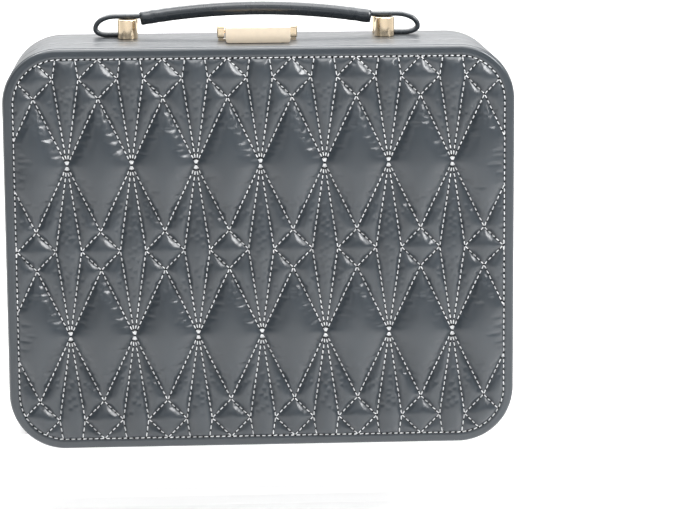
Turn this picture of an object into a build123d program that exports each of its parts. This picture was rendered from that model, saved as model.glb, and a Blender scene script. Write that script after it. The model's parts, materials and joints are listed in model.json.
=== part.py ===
from build123d import *

import math
import os

# Travel jewelry case: a leather-covered box that stands on its long edge, with a quilted front lid
# hinged along the bottom, a flap clasp and a carrying handle on top, and a fitted interior.
# Millimetres. +X is the width, the quilted front faces -Y, +Z is up. The origin is under the middle
# of the case's bounding box, on the surface it stands on.

os.makedirs("parts", exist_ok=True)

# ---- driving dimensions ------------------------------------------------------------------------
case_width = 280.0
case_height = 222.5
case_depth = 90.0          # leather front rim to leather back
corner_radius = 31.0
lid_depth = 31.0
quilt_rise = 4.0           # how far the quilted panel stands proud of the front rim

leather = 0.9
board = 4.0                # side walls of lid and body
panel = 3.0                # front and back boards
collar = 1.6               # inner board of the body, which makes the lip
lining = 0.8
rim_turn = 3.6             # the front and back leathers turn this far round the sides
rim_roll = 2.2             # radius of the leather's rolled outer edge
border = 6.0               # plain leather between the outer edge and the quilting
lip_reach = 5.0            # the body's lip enters the lid this far
lip_gap = 0.35             # clearance between the lip and the lid

handle_y = 20.0            # the handle runs above the middle of the body
post_x = 72.0
post_radius = 5.6
post_height = 10.8
post_spread = 9.5          # each post's distance in Y from the handle's line
strap_width = 7.2
strap_thick = 2.2
tube_radius = 3.95
tube_end_x = 65.0
tube_mid_rise = 15.8       # centre of the tube above the case, in the middle
tube_end_rise = 10.4       # and at its ends

flap_width = 35.4
flap_front = 13.0          # the flap reaches this far in front of the seam
flap_top = 9.1             # height of the closed flap above the case
flap_pivot_back = 9.0      # the clasp's pin lies this far behind the seam
flap_pivot_rise = 5.1
clasp_gap = 0.35           # clearance under the closed flap

hinge_x = 80.0
hinge_length = 30.0
hinge_rise = 2.2           # height of the lid's turning axis
barrel_radius = 1.9
hinge_pin_radius = 0.9
running_gap = 0.05         # radial clearance of a pin in its hole

# ---- worked-out places -------------------------------------------------------------------------
back_y = (case_depth + quilt_rise) / 2
rim_y = back_y - case_depth
seam_y = rim_y + lid_depth
mid_z = case_height / 2
top_z = case_height
wall_in = leather + board                  # inset of the walls' inner faces
collar_in = wall_in + collar
room_in = collar_in + lining               # inset of the body's open interior
back_board_y = back_y - leather
room_back_y = back_board_y - panel - lining
lid_board_y = rim_y + leather              # front face of the lid's front board
lid_lining_y = lid_board_y + panel
lid_room_y = lid_lining_y + lining
edge = 0.3                                 # small breaks on metal edges
board_gap = 0.4                            # the boards stop this far from the seam
wrap_gap = 0.1                             # and their leather this far
wrap_lap = 0.2                             # the side leathers stop this far from the panels' edges
board_clear = 0.1                          # clearance round the front and back boards


def facing(y):
    """A plane at depth y whose sketches are seen from the front; it extrudes towards -Y."""
    return Plane((0, y, mid_z), x_dir=(1, 0, 0), z_dir=(0, -1, 0))


def outline(inset, mode=Mode.ADD):
    """The case's rounded outline, drawn inset from the outer leather face."""
    RectangleRounded(case_width - 2 * inset, case_height - 2 * inset, corner_radius - inset, mode=mode)


def ring(y_back, y_front, outer, inner):
    """Add a wall that follows the case's outline between two depths."""
    with BuildSketch(facing(y_back)) as section:
        outline(outer)
        outline(inner, mode=Mode.SUBTRACT)
    extrude(section.sketch, amount=y_back - y_front)


def plate(y_back, y_front, inset, mode=Mode.ADD):
    """Add or cut a full plate with the case's outline between two depths."""
    with BuildSketch(facing(y_back)) as section:
        outline(inset)
    extrude(section.sketch, amount=y_back - y_front, mode=mode)


def block(x, y, z, mode=Mode.ADD):
    """Add or cut a box given by its (low, high) limits along each axis."""
    with Locations(((x[0] + x[1]) / 2, (y[0] + y[1]) / 2, (z[0] + z[1]) / 2)):
        Box(x[1] - x[0], y[1] - y[0], z[1] - z[0], mode=mode)


def rod(centre, direction, radius, length, mode=Mode.ADD):
    """Add or cut a cylinder that is centred on a point."""
    with Locations(Plane(centre, z_dir=direction)):
        Cylinder(radius, length, mode=mode)


def save(piece, name):
    """Label a finished piece and write it to its own file."""
    piece.part.label = name
    export_step(piece.part, f"parts/{name}.step")


# ---- what is cut from the walls ----------------------------------------------------------------
groove_rise = hinge_rise + 0.15
groove_half = 2.75
barrel_room = 2.5                          # half width of the notch for a hinge barrel
leaf_reach = 14.0
leaf_thick = 0.8
leaf_top = hinge_rise + barrel_radius
leaf_low = leaf_top - leaf_thick
seat_clear = 0.4                           # clearance round the ends of the hinges
screw_side = 10.0                          # a leaf's outer screws, from its middle
screw_near = 6.0                           # and their distance from the seam
screw_far = 10.5                           # the middle screw's distance from the seam
stud_radius = 1.5
stud_hole = stud_radius + 0.1
strike_half = 13.0
strike_front = seam_y - 11.0
strike_back = seam_y - 2.0
strike_thick = 1.0
post_places = [(side * post_x, handle_y + row * post_spread) for side in (-1, 1) for row in (-1, 1)]
rivet_radius = 1.0
rivet_hole = rivet_radius + running_gap
base_rivet_x = 14.0
base_rivet_back = 6.2                      # behind the clasp's pin
base_rivets = [(x, seam_y + flap_pivot_back + base_rivet_back) for x in (-base_rivet_x, base_rivet_x)]
strike_rivet_x = 10.0
strike_rivets = [(x, (strike_front + strike_back) / 2) for x in (-strike_rivet_x, strike_rivet_x)]


def cut_seam_groove():
    """Cut the V along the bottom seam that lets the lid swing down."""
    with BuildSketch(Plane.YZ.offset(-case_width / 2)) as section:
        with BuildLine():
            Polyline(
                (seam_y - groove_half, -1),
                (seam_y - groove_half, 0),
                (seam_y, groove_rise),
                (seam_y + groove_half, 0),
                (seam_y + groove_half, -1),
                close=True,
            )
        make_face()
    extrude(section.sketch, amount=case_width, mode=Mode.SUBTRACT)


def cut_hinge_seats():
    """Cut the notches for the hinge barrels and the shallow seats for their leaves."""
    for x in (-hinge_x, hinge_x):
        ends = (x - hinge_length / 2 - seat_clear, x + hinge_length / 2 + seat_clear)
        block(ends, (seam_y - barrel_room, seam_y + barrel_room), (-1, wall_in + 0.01), Mode.SUBTRACT)
        seat = (seam_y - leaf_reach - seat_clear, seam_y + leaf_reach + seat_clear)
        block(ends, seat, (leaf_low - running_gap, wall_in + 0.01), Mode.SUBTRACT)


def screw_places(side):
    """Where a leaf's three screws go, side +1 for the body and -1 for the lid."""
    places = []
    for x in (-hinge_x, hinge_x):
        places += [(x + end * screw_side, seam_y + side * screw_near) for end in (-1, 1)]
        places.append((x, seam_y + side * screw_far))
    return places


screw_radius = 0.9
screw_length = 2.2                         # in the board, past the leaf
screw_head_radius = 1.6
screw_head_thick = 0.4


def cut_screw_holes(side):
    """Drill a wall for a leaf's screws."""
    for x, y in screw_places(side):
        rod((x, y, leaf_low - screw_length / 2), (0, 0, 1), screw_radius + running_gap,
            screw_length, Mode.SUBTRACT)


def cut_rivet_holes(places):
    """Drill the top wall for rivets."""
    for x, y in places:
        rod((x, y, top_z - 2), (0, 0, 1), rivet_hole, 6, Mode.SUBTRACT)


def cut_strike_seat():
    """Sink the seat of the strike plate into the lid's top and drill it for the rivets."""
    block(
        (-strike_half - 0.1, strike_half + 0.1),
        (strike_front - 0.1, strike_back + 0.1),
        (top_z - strike_thick, top_z + 1),
        Mode.SUBTRACT,
    )
    cut_rivet_holes(strike_rivets)


def cut_stud_holes():
    """Drill the top wall for the four post studs."""
    for x, y in post_places:
        rod((x, y, top_z - 5), (0, 0, 1), stud_hole, 12, Mode.SUBTRACT)


lining_short = 0.6                         # the body's lining stops short of the lip's edge

# ---- body: boards and leather ------------------------------------------------------------------
with BuildPart() as body_frame:
    ring(back_board_y, seam_y + board_gap, leather, wall_in)
    cut_seam_groove()
    cut_hinge_seats()
    cut_screw_holes(1)
    cut_stud_holes()
    cut_rivet_holes(base_rivets)
save(body_frame, "body_frame")

with BuildPart() as back_board:
    plate(back_board_y, back_board_y - panel, wall_in + board_clear)
save(back_board, "back_board")

with BuildPart() as body_wrap:
    ring(back_y - rim_turn - wrap_lap, seam_y + wrap_gap, 0, leather)
    cut_seam_groove()
    cut_hinge_seats()
    cut_stud_holes()
    cut_rivet_holes(base_rivets)
save(body_wrap, "body_wrap")

with BuildPart() as back_cover:
    plate(back_y, back_y - rim_turn, 0)
    fillet(back_cover.edges().group_by(Axis.Y)[-1], rim_roll)
    plate(back_y - leather, back_y - rim_turn, leather, Mode.SUBTRACT)
save(back_cover, "back_cover")

# The collar lines the body's walls and stands out of it as the lip that the lid closes over.
with BuildPart() as body_lip:
    ring(back_board_y - panel, seam_y + board_gap, wall_in, collar_in)
    ring(seam_y + board_gap, seam_y - lip_reach, wall_in + lip_gap, collar_in)
    cut_stud_holes()
save(body_lip, "body_lip")

with BuildPart() as body_lining:
    plate(back_board_y - panel, room_back_y, collar_in)
    ring(room_back_y, seam_y - lip_reach + lining_short, collar_in, room_in)
    cut_stud_holes()
save(body_lining, "body_lining")

# ---- body: what the interior holds ---------------------------------------------------------------
room_half = case_width / 2 - room_in
room_low = room_in
room_high = top_z - room_in
divider_thick = 2.0
divider_front = seam_y + 8.0
centre_x = 5.0
shelf_high_z = 118.0
shelf_low_z = 62.0
short_x = -63.0
divider_depth = (divider_front, room_back_y)

with BuildPart() as divider_centre:
    block((centre_x - divider_thick / 2, centre_x + divider_thick / 2), divider_depth, (room_low, room_high))
save(divider_centre, "divider_centre")

for name, z in (("divider_upper", shelf_high_z), ("divider_lower", shelf_low_z)):
    with BuildPart() as divider:
        block(
            (-room_half, centre_x - divider_thick / 2),
            divider_depth,
            (z - divider_thick / 2, z + divider_thick / 2),
        )
        if name == "divider_lower":
            # the half-lap joint with the short divider
            block(
                (short_x - divider_thick / 2, short_x + divider_thick / 2),
                (divider_front - 1, (divider_front + room_back_y) / 2),
                (z - divider_thick, z + divider_thick),
                Mode.SUBTRACT,
            )
    save(divider, name)

with BuildPart() as divider_short:
    block(
        (short_x - divider_thick / 2, short_x + divider_thick / 2),
        divider_depth,
        (room_low, shelf_high_z - divider_thick / 2),
    )
    block(
        (short_x - divider_thick, short_x + divider_thick),
        ((divider_front + room_back_y) / 2, room_back_y + 1),
        (shelf_low_z - divider_thick / 2, shelf_low_z + divider_thick / 2),
        Mode.SUBTRACT,
    )
save(divider_short, "divider_short")


def ring_rolls_at(x, y_back, z_low, count, pitch, depth):
    """Add a stack of padded rolls with rounded fronts; rings are pushed in between them."""
    radius = pitch / 2 - 0.15
    for i in range(count):
        z = z_low + (i + 0.5) * pitch
        block(x, (y_back - depth + radius, y_back), (z - radius, z + radius))
        with Locations(Plane(((x[0] + x[1]) / 2, y_back - depth + radius, z), z_dir=(1, 0, 0))):
            Cylinder(radius, x[1] - x[0])


roll_pitch = 13.2
roll_count = 6
roll_depth = 34.0
rolls_x = (-121.0, -1.0)
rolls_rise = 8.0                           # the lowest roll above the upper shelf
with BuildPart() as ring_rolls:
    ring_rolls_at(rolls_x, room_back_y, shelf_high_z + rolls_rise, roll_count, roll_pitch, roll_depth)
save(ring_rolls, "ring_rolls")

# The small travel box is a lift-out case of its own, stored in the right half of the body.
box_x = (8.0, 128.0)
box_half_height = 92.0
box_z = (mid_z - box_half_height, mid_z + box_half_height)
box_back = room_back_y - 0.4
box_front = seam_y + 3.4
box_lid_depth = 16.0
box_seam = box_front + box_lid_depth
box_half_gap = 0.15                        # half the gap between the travel box's halves
box_wall = 3.0
box_edge = 1.0
box_round = 2.5
box_mid_x = (box_x[0] + box_x[1]) / 2
magnet_radius = 1.1
magnet_length = 1.8
magnet_xs = (box_mid_x - 30.0, box_mid_x + 30.0)


def box_half(y_low, y_high, open_low, open_high):
    """Add one half of the travel box, hollow between the two open depths."""
    with BuildSketch(facing(y_high)) as section:
        with Locations((box_mid_x, 0)):
            RectangleRounded(box_x[1] - box_x[0], box_z[1] - box_z[0], box_round)
    extrude(section.sketch, amount=y_high - y_low)
    block(
        (box_x[0] + box_wall, box_x[1] - box_wall),
        (open_low, open_high),
        (box_z[0] + box_wall, box_z[1] - box_wall),
        Mode.SUBTRACT,
    )
    for x in magnet_xs:
        rod((x, box_seam, box_z[1] - box_wall / 2), (0, 1, 0), magnet_radius + running_gap, 4, Mode.SUBTRACT)


with BuildPart() as travel_box_base:
    box_half(box_seam + box_half_gap, box_back, box_seam, box_back - box_wall)
    fillet(travel_box_base.edges().group_by(Axis.Y)[-1], box_edge)
save(travel_box_base, "travel_box_base")

with BuildPart() as travel_box_lid:
    box_half(box_front, box_seam - box_half_gap, box_front + box_wall, box_seam)
    fillet(travel_box_lid.edges().group_by(Axis.Y)[0], box_edge)
save(travel_box_lid, "travel_box_lid")

# A leather strip glued along the bottom is the travel box's hinge.
strip_inset = 6.0
strip_half = 7.0
strip_thick = 0.6
with BuildPart() as travel_box_hinge:
    block(
        (box_x[0] + strip_inset, box_x[1] - strip_inset),
        (box_seam - strip_half, box_seam + strip_half),
        (box_z[0] - strip_thick, box_z[0]),
    )
save(travel_box_hinge, "travel_box_hinge")

with BuildPart() as travel_box_magnets:
    for x in magnet_xs:
        for side in (-1, 1):
            y = box_seam + side * (magnet_length / 2 + 0.2)
            rod((x, y, box_z[1] - box_wall / 2), (0, 1, 0), magnet_radius, magnet_length)
save(travel_box_magnets, "travel_box_magnets")

inner_x = (box_x[0] + box_wall, box_x[1] - box_wall)
inner_z = (box_z[0] + box_wall, box_z[1] - box_wall)
box_divider_z = mid_z + 8.0
box_roll_count = 7
box_roll_pitch = 13.0
box_roll_depth = 22.0
with BuildPart() as travel_box_lining:
    block(inner_x, (box_seam + 2, box_back - box_wall), inner_z)
    block(
        (inner_x[0] + lining, inner_x[1] - lining),
        (box_seam + 1, box_back - box_wall - lining),
        (inner_z[0] + lining, inner_z[1] - lining),
        Mode.SUBTRACT,
    )
save(travel_box_lining, "travel_box_lining")

with BuildPart() as travel_box_divider:
    block(
        (inner_x[0] + lining, inner_x[1] - lining),
        (box_seam + 3, box_back - box_wall - lining),
        (box_divider_z, box_divider_z + divider_thick),
    )
save(travel_box_divider, "travel_box_divider")

with BuildPart() as travel_box_rolls:
    ring_rolls_at(
        (inner_x[0] + 2, inner_x[1] - 2),
        box_back - box_wall - lining,
        inner_z[0] + lining + 1,
        box_roll_count,
        box_roll_pitch,
        box_roll_depth,
    )
save(travel_box_rolls, "travel_box_rolls")

# ---- lid: boards, padding and leather ------------------------------------------------------------
with BuildPart() as lid_frame:
    ring(seam_y - board_gap, lid_board_y, leather, wall_in)
    cut_seam_groove()
    cut_hinge_seats()
    cut_screw_holes(-1)
    cut_strike_seat()
save(lid_frame, "lid_frame")

with BuildPart() as front_board:
    plate(lid_lining_y, lid_board_y, wall_in + board_clear)
save(front_board, "front_board")

foam_clear = 0.1
foam_inset = 0.4
with BuildPart() as front_foam:
    plate(lid_board_y, rim_y - quilt_rise + leather + foam_clear, border + leather + foam_inset)
save(front_foam, "front_foam")

# One leather panel: rolled rim, plain border, and the raised quilted field over the foam.
with BuildPart() as quilted_cover:
    plate(rim_y + rim_turn, rim_y, 0)
    fillet(quilted_cover.edges().group_by(Axis.Y)[0], rim_roll)
    plate(rim_y, rim_y - quilt_rise, border)
    fillet(quilted_cover.edges().group_by(Axis.Y)[0], rim_roll)
    plate(rim_y + rim_turn, rim_y + leather, leather, Mode.SUBTRACT)
    inset = border + leather + foam_inset - foam_clear
    plate(rim_y + leather, rim_y - quilt_rise + leather, inset, Mode.SUBTRACT)
save(quilted_cover, "quilted_cover")

with BuildPart() as lid_wrap:
    ring(seam_y - wrap_gap, rim_y + rim_turn + wrap_lap, 0, leather)
    cut_seam_groove()
    cut_hinge_seats()
    cut_strike_seat()
save(lid_wrap, "lid_wrap")

lip_clear = 0.8                            # the lid's lining stops short of the body's lip
with BuildPart() as lid_lining:
    plate(lid_room_y, lid_lining_y, wall_in)
    ring(seam_y - lip_reach - lip_clear, lid_room_y, wall_in, wall_in + lining)
save(lid_lining, "lid_lining")

# ---- lid: mirror, necklace hooks and pocket ------------------------------------------------------
mirror_x = (14.0, 118.0)
mirror_z = (36.0, 186.0)
mirror_thick = 1.8
bezel_edge = 4.0
bezel_corner = 4.0
bezel_thick = 2.8
mirror_lap = 1.5

with BuildPart() as mirror:
    block(mirror_x, (lid_room_y, lid_room_y + mirror_thick), mirror_z)
save(mirror, "mirror")

with BuildPart() as mirror_bezel:
    block(
        (mirror_x[0] - bezel_edge, mirror_x[1] + bezel_edge),
        (lid_room_y, lid_room_y + bezel_thick),
        (mirror_z[0] - bezel_edge, mirror_z[1] + bezel_edge),
    )
    fillet(mirror_bezel.edges().filter_by(Axis.Y), bezel_corner)
    chamfer(mirror_bezel.edges().group_by(Axis.Y)[-1], 0.6)
    block(mirror_x, (lid_room_y - 1, lid_room_y + mirror_thick), mirror_z, Mode.SUBTRACT)
    block(
        (mirror_x[0] + mirror_lap, mirror_x[1] - mirror_lap),
        (lid_room_y, lid_room_y + bezel_thick + 1),
        (mirror_z[0] + mirror_lap, mirror_z[1] - mirror_lap),
        Mode.SUBTRACT,
    )
save(mirror_bezel, "mirror_bezel")

rail_x = (-118.0, -12.0)
rail_z = (184.0, 194.0)
rail_thick = 2.5
hook_count = 6
hook_pitch = 18.0
hook_radius = 1.1
hook_out = 7.0
hook_up = 4.0
hook_bend = 2.4

with BuildPart() as hook_rail:
    block(rail_x, (lid_room_y, lid_room_y + rail_thick), rail_z)
    fillet(hook_rail.edges().filter_by(Axis.Y), 2.0)
    chamfer(hook_rail.edges().group_by(Axis.Y)[-1], 0.5)
save(hook_rail, "hook_rail")

rail_mid_x = (rail_x[0] + rail_x[1]) / 2
rail_mid_z = (rail_z[0] + rail_z[1]) / 2
hook_xs = [rail_mid_x + (i - (hook_count - 1) / 2) * hook_pitch for i in range(hook_count)]
with BuildPart() as necklace_hooks:
    for x in hook_xs:
        rail_face = (x, lid_room_y + rail_thick, rail_mid_z)
        with BuildLine(Plane(rail_face, x_dir=(0, 1, 0), z_dir=(1, 0, 0))) as bent:
            FilletPolyline((0, 0), (hook_out, 0), (hook_out, hook_up), radius=hook_bend)
        with BuildSketch(Plane((x, lid_room_y + rail_thick, rail_mid_z), z_dir=(0, 1, 0))) as section:
            Circle(hook_radius)
        sweep(section.sketch, path=bent.line)
save(necklace_hooks, "necklace_hooks")

pocket_x = (-118.0, -12.0)
pocket_z = (20.0, 76.0)
pocket_depth = 8.0
pocket_cloth = 1.0
pocket_y = (lid_room_y, lid_room_y + pocket_depth)
elastic_drop = 3.0
with BuildPart() as necklace_pocket:
    block(pocket_x, pocket_y, (pocket_z[0], pocket_z[1] - elastic_drop))
    block(
        (pocket_x[0] + pocket_cloth, pocket_x[1] - pocket_cloth),
        (pocket_y[0] - 1, pocket_y[1] - pocket_cloth),
        (pocket_z[0] + pocket_cloth, pocket_z[1]),
        Mode.SUBTRACT,
    )
save(necklace_pocket, "necklace_pocket")

with BuildPart() as pocket_elastic:
    block(pocket_x, (pocket_y[1] - pocket_cloth, pocket_y[1]), (pocket_z[1] - elastic_drop, pocket_z[1]))
save(pocket_elastic, "pocket_elastic")

# ---- hinges ----------------------------------------------------------------------------------------
knuckle = hinge_length / 3
knuckle_gap = 0.1
leaf_clear = barrel_radius + 0.35


def hinge_leaf(x, side):
    """Add a leaf: side +1 is the body's, with two knuckles, and -1 the lid's, with one."""
    half = hinge_length / 2
    reach = (seam_y, seam_y + side * leaf_reach)
    block((x - half, x + half), (min(reach), max(reach)), (leaf_low, leaf_top))
    clear = (seam_y - leaf_clear, seam_y + leaf_clear)
    own = [x - knuckle, x + knuckle] if side > 0 else [x]
    other = [x] if side > 0 else [x - knuckle, x + knuckle]
    for middle in other:
        ends = (middle - knuckle / 2 - knuckle_gap, middle + knuckle / 2 + knuckle_gap)
        block(ends, clear, (leaf_low - 1, leaf_top + 1), Mode.SUBTRACT)
    for middle in own:
        rod((middle, seam_y, hinge_rise), (1, 0, 0), barrel_radius, knuckle - knuckle_gap)
    rod((x, seam_y, hinge_rise), (1, 0, 0), hinge_pin_radius + running_gap, hinge_length + 1, Mode.SUBTRACT)
    for screw_x, screw_y in screw_places(side):
        rod((screw_x, screw_y, leaf_low), (0, 0, 1), screw_radius + running_gap, 4, Mode.SUBTRACT)


for end, x in (("left", -hinge_x), ("right", hinge_x)):
    with BuildPart() as leaf_body:
        hinge_leaf(x, 1)
    save(leaf_body, f"hinge_leaf_body_{end}")
    with BuildPart() as leaf_lid:
        hinge_leaf(x, -1)
    save(leaf_lid, f"hinge_leaf_lid_{end}")
    with BuildPart() as hinge_pin:
        rod((x, seam_y, hinge_rise), (1, 0, 0), hinge_pin_radius, hinge_length)
        chamfer(hinge_pin.edges(), 0.2)
    save(hinge_pin, f"hinge_pin_{end}")

for name, side in (("hinge_screws_body", 1), ("hinge_screws_lid", -1)):
    with BuildPart() as screws:
        for x, y in screw_places(side):
            rod((x, y, leaf_top + screw_head_thick / 2), (0, 0, 1), screw_head_radius, screw_head_thick)
            rod((x, y, leaf_top - (screw_length + leaf_thick) / 2), (0, 0, 1), screw_radius,
                screw_length + leaf_thick)
    save(screws, name)

# ---- handle ------------------------------------------------------------------------------------------
pin_rise = 8.9
pin_radius = 1.4
pin_hold = 2.5                              # length of a cross pin's end inside a post
inner_face = post_spread - post_radius      # half the gap between two posts
stud_end_z = top_z - room_in - 3.4        # past the nut
post_round = 0.6
post_names = ["post_left_front", "post_left_rear", "post_right_front", "post_right_rear"]

for name, (x, y) in zip(post_names, post_places):
    with BuildPart() as post:
        rod((x, y, top_z + post_height / 2), (0, 0, 1), post_radius, post_height)
        fillet(post.edges().group_by(Axis.Z)[-1], post_round)
        chamfer(post.edges().group_by(Axis.Z)[0], edge)
        rod((x, y, (top_z + stud_end_z) / 2), (0, 0, 1), stud_radius, top_z - stud_end_z)
        rod((x, handle_y, top_z + pin_rise), (0, 1, 0), pin_radius + running_gap,
            2 * (inner_face + pin_hold), Mode.SUBTRACT)
    save(post, name)

for end, x in (("left", -post_x), ("right", post_x)):
    with BuildPart() as cross_pin:
        rod((x, handle_y, top_z + pin_rise), (0, 1, 0), pin_radius, 2 * (inner_face + pin_hold - 0.1))
    save(cross_pin, f"cross_pin_{end}")

washer_thick = 0.6
washer_radius = 3.4
nut_thick = 2.2
nut_radius = 3.1
inner_top_z = top_z - room_in
with BuildPart() as post_washers:
    for x, y in post_places:
        rod((x, y, inner_top_z - washer_thick / 2), (0, 0, 1), washer_radius, washer_thick)
        rod((x, y, inner_top_z), (0, 0, 1), stud_hole, 4, Mode.SUBTRACT)
save(post_washers, "post_washers")

with BuildPart() as post_nuts:
    with BuildSketch(Plane.XY.offset(inner_top_z - washer_thick - nut_thick)) as section:
        with Locations(*post_places):
            RegularPolygon(nut_radius, 6)
            Circle(stud_radius + running_gap, mode=Mode.SUBTRACT)
    extrude(section.sketch, amount=nut_thick)
save(post_nuts, "post_nuts")

tube_sag = tube_mid_rise - tube_end_rise
arch_radius = (tube_end_x**2 + tube_sag**2) / (2 * tube_sag)


def arch_rise(x):
    """Height of the handle's centre line above the case at a distance from the middle."""
    return tube_mid_rise - arch_radius + math.sqrt(arch_radius**2 - x**2)


def arch(half_length):
    """Draw the handle's centre line, symmetric about the middle."""
    ThreePointArc(
        (-half_length, handle_y, top_z + arch_rise(half_length)),
        (0, handle_y, top_z + tube_mid_rise),
        (half_length, handle_y, top_z + arch_rise(half_length)),
    )


tube_wall = 1.0
core_half = 50.0
with BuildPart() as handle_tube:
    with BuildLine() as centre_line:
        arch(tube_end_x)
    with BuildSketch(Plane(centre_line.line @ 0, x_dir=(0, 1, 0), z_dir=centre_line.line % 0)):
        Circle(tube_radius)
        Circle(tube_radius - tube_wall, mode=Mode.SUBTRACT)
    sweep()
save(handle_tube, "handle_tube")

with BuildPart() as handle_core:
    with BuildLine() as centre_line:
        arch(core_half)
    with BuildSketch(Plane(centre_line.line @ 0, x_dir=(0, 1, 0), z_dir=centre_line.line % 0)):
        Circle(tube_radius - tube_wall - running_gap)
    sweep()
save(handle_core, "handle_core")

strap_high = pin_rise + pin_radius + 0.2 + strap_thick / 2     # its upper run clears the cross pin
strap_low = strap_thick / 2 + 0.1                              # and its lower run the case
strap_from = tube_end_x + 0.9
strap_to = 68.5
loop_x = 90.9                               # the loop's outermost point, on its centre line
loop_z = 5.0
loop_high_x = 79.0                          # where the loop leaves its upper and its lower run
loop_low_x = 84.0
tang_width = 4.0
tang_thick = 1.8
tang_lift = 0.9


def strap_edge(out):
    """Draw one face of the bent strap, a distance outside its centre line."""
    high = strap_high + out
    low = strap_low - out
    Line((strap_from, high), (loop_high_x, high))
    EllipticalCenterArc((loop_high_x, loop_z), loop_x - loop_high_x + out, high - loop_z, start_angle=0)
    EllipticalCenterArc((loop_low_x, loop_z), loop_x - loop_low_x + out, loop_z - low, start_angle=270)
    Line((loop_low_x, low), (strap_to, low))


for end, side in (("left", -1), ("right", 1)):
    beside = Plane((0, handle_y, top_z), x_dir=(side, 0, 0), z_dir=(0, -side, 0))
    with BuildPart() as strap:
        with BuildSketch(beside) as section:
            with BuildLine():
                strap_edge(strap_thick / 2)
                strap_edge(-strap_thick / 2)
                for x, z in ((strap_from, strap_high), (strap_to, strap_low)):
                    Line((x, z - strap_thick / 2), (x, z + strap_thick / 2))
            make_face()
        extrude(section.sketch, amount=strap_width / 2, both=True)
        with BuildSketch(beside) as section:
            with BuildLine():
                Line((core_half + 3, arch_rise(core_half + 3) + tang_lift), (tube_end_x + 1, strap_high - 0.1))
            trace(line_width=tang_thick)
        extrude(section.sketch, amount=tang_width / 2, both=True)
    save(strap, f"handle_strap_{end}")

# ---- clasp ---------------------------------------------------------------------------------------------
pivot_y = seam_y + flap_pivot_back
pivot_z = top_z + flap_pivot_rise
flap_front_y = seam_y - flap_front
flap_barrel = flap_top - flap_pivot_rise
clasp_pin_radius = 1.2
foot_depth = 7.0
flap_skin = 3.4
catch_half = 12.0                           # the pocket for the magnet in the flap's foot
catch_front = 1.8
catch_back = 5.4
catch_top = 2.8
catch_gap = 0.1
ear_gap = 0.5
ear_x = (flap_width / 2 + ear_gap, 22.2)
base_thick = 0.8

with BuildPart() as clasp_flap:
    with BuildSketch(Plane.YZ.offset(-flap_width / 2)) as section:
        with BuildLine():
            Polyline(
                (pivot_y, top_z + flap_top),
                (flap_front_y, top_z + flap_top),
                (flap_front_y, top_z + clasp_gap),
                (flap_front_y + foot_depth, top_z + clasp_gap),
                (flap_front_y + foot_depth, top_z + flap_top - flap_skin),
                (pivot_y, top_z + flap_top - flap_skin),
                close=True,
            )
        make_face()
        with Locations((pivot_y, pivot_z)):
            Circle(flap_barrel)
    extrude(section.sketch, amount=flap_width)
    fillet(clasp_flap.edges().filter_by(Axis.Y).group_by(Axis.Z)[0], 1.5)
    front = clasp_flap.faces().sort_by(Axis.Y)[0]
    fillet(front.edges().filter_by(Axis.X).sort_by(Axis.Z)[-1], 0.9)
    rod((0, pivot_y, pivot_z), (1, 0, 0), clasp_pin_radius + running_gap, flap_width + 2, Mode.SUBTRACT)
    block(
        (-catch_half, catch_half),
        (flap_front_y + catch_front, flap_front_y + catch_back),
        (top_z, top_z + catch_top),
        Mode.SUBTRACT,
    )
save(clasp_flap, "clasp_flap")

with BuildPart() as clasp_magnet:
    block(
        (catch_gap - catch_half, catch_half - catch_gap),
        (flap_front_y + catch_front + catch_gap, flap_front_y + catch_back - catch_gap),
        (top_z + clasp_gap + catch_gap, top_z + catch_top - catch_gap),
    )
save(clasp_magnet, "clasp_magnet")

ear_size = 7.0
ear_rise = 4.9                              # the ears' middle above the case
base_half = 17.0
foot_half = 1.4
foot_reach = 2.4
foot_rise = 2.0
with BuildPart() as clasp_base:
    ear_middle = (ear_x[0] + ear_x[1]) / 2
    with Locations(*[(side * ear_middle, pivot_y, top_z + ear_rise) for side in (-1, 1)]):
        Box(ear_x[1] - ear_x[0], ear_size, ear_size)
    fillet(clasp_base.edges().filter_by(Axis.X).group_by(Axis.Z)[-1], 1.6)
    fillet(clasp_base.edges().filter_by(Axis.X).group_by(Axis.Z)[0], 0.8)
    chamfer(clasp_base.edges().group_by(Axis.X)[0] + clasp_base.edges().group_by(Axis.X)[-1], 0.5)
    block((-base_half, base_half), (seam_y + 4, pivot_y + 9), (top_z, top_z + base_thick))
    for side in (-1, 1):
        foot = sorted((side * (ear_middle - foot_half), side * (ear_middle + foot_half)))
        block(foot, (pivot_y - foot_reach, pivot_y + foot_reach), (top_z, top_z + foot_rise))
        tab = sorted((side * (base_half - 0.5), side * ear_middle))
        block(tab, (pivot_y - foot_reach, pivot_y + foot_reach), (top_z, top_z + base_thick))
    rod((0, pivot_y, pivot_z), (1, 0, 0), clasp_pin_radius + running_gap, 60, Mode.SUBTRACT)
    for x, y in base_rivets:
        rod((x, y, top_z), (0, 0, 1), rivet_hole, 4, Mode.SUBTRACT)
save(clasp_base, "clasp_base")

with BuildPart() as clasp_pin:
    rod((0, pivot_y, pivot_z), (1, 0, 0), clasp_pin_radius, 2 * ear_x[1] + 0.4)
    chamfer(clasp_pin.edges(), 0.2)
save(clasp_pin, "clasp_pin")

rivet_head_radius = 1.7
rivet_head_thick = 0.5
rivet_length = 5.0
with BuildPart() as clasp_rivets:
    for x, y in base_rivets:
        rod((x, y, top_z + base_thick + rivet_head_thick / 2), (0, 0, 1), rivet_head_radius, rivet_head_thick)
        rod((x, y, top_z + base_thick - rivet_length / 2), (0, 0, 1), rivet_radius, rivet_length)
save(clasp_rivets, "clasp_rivets")

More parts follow.
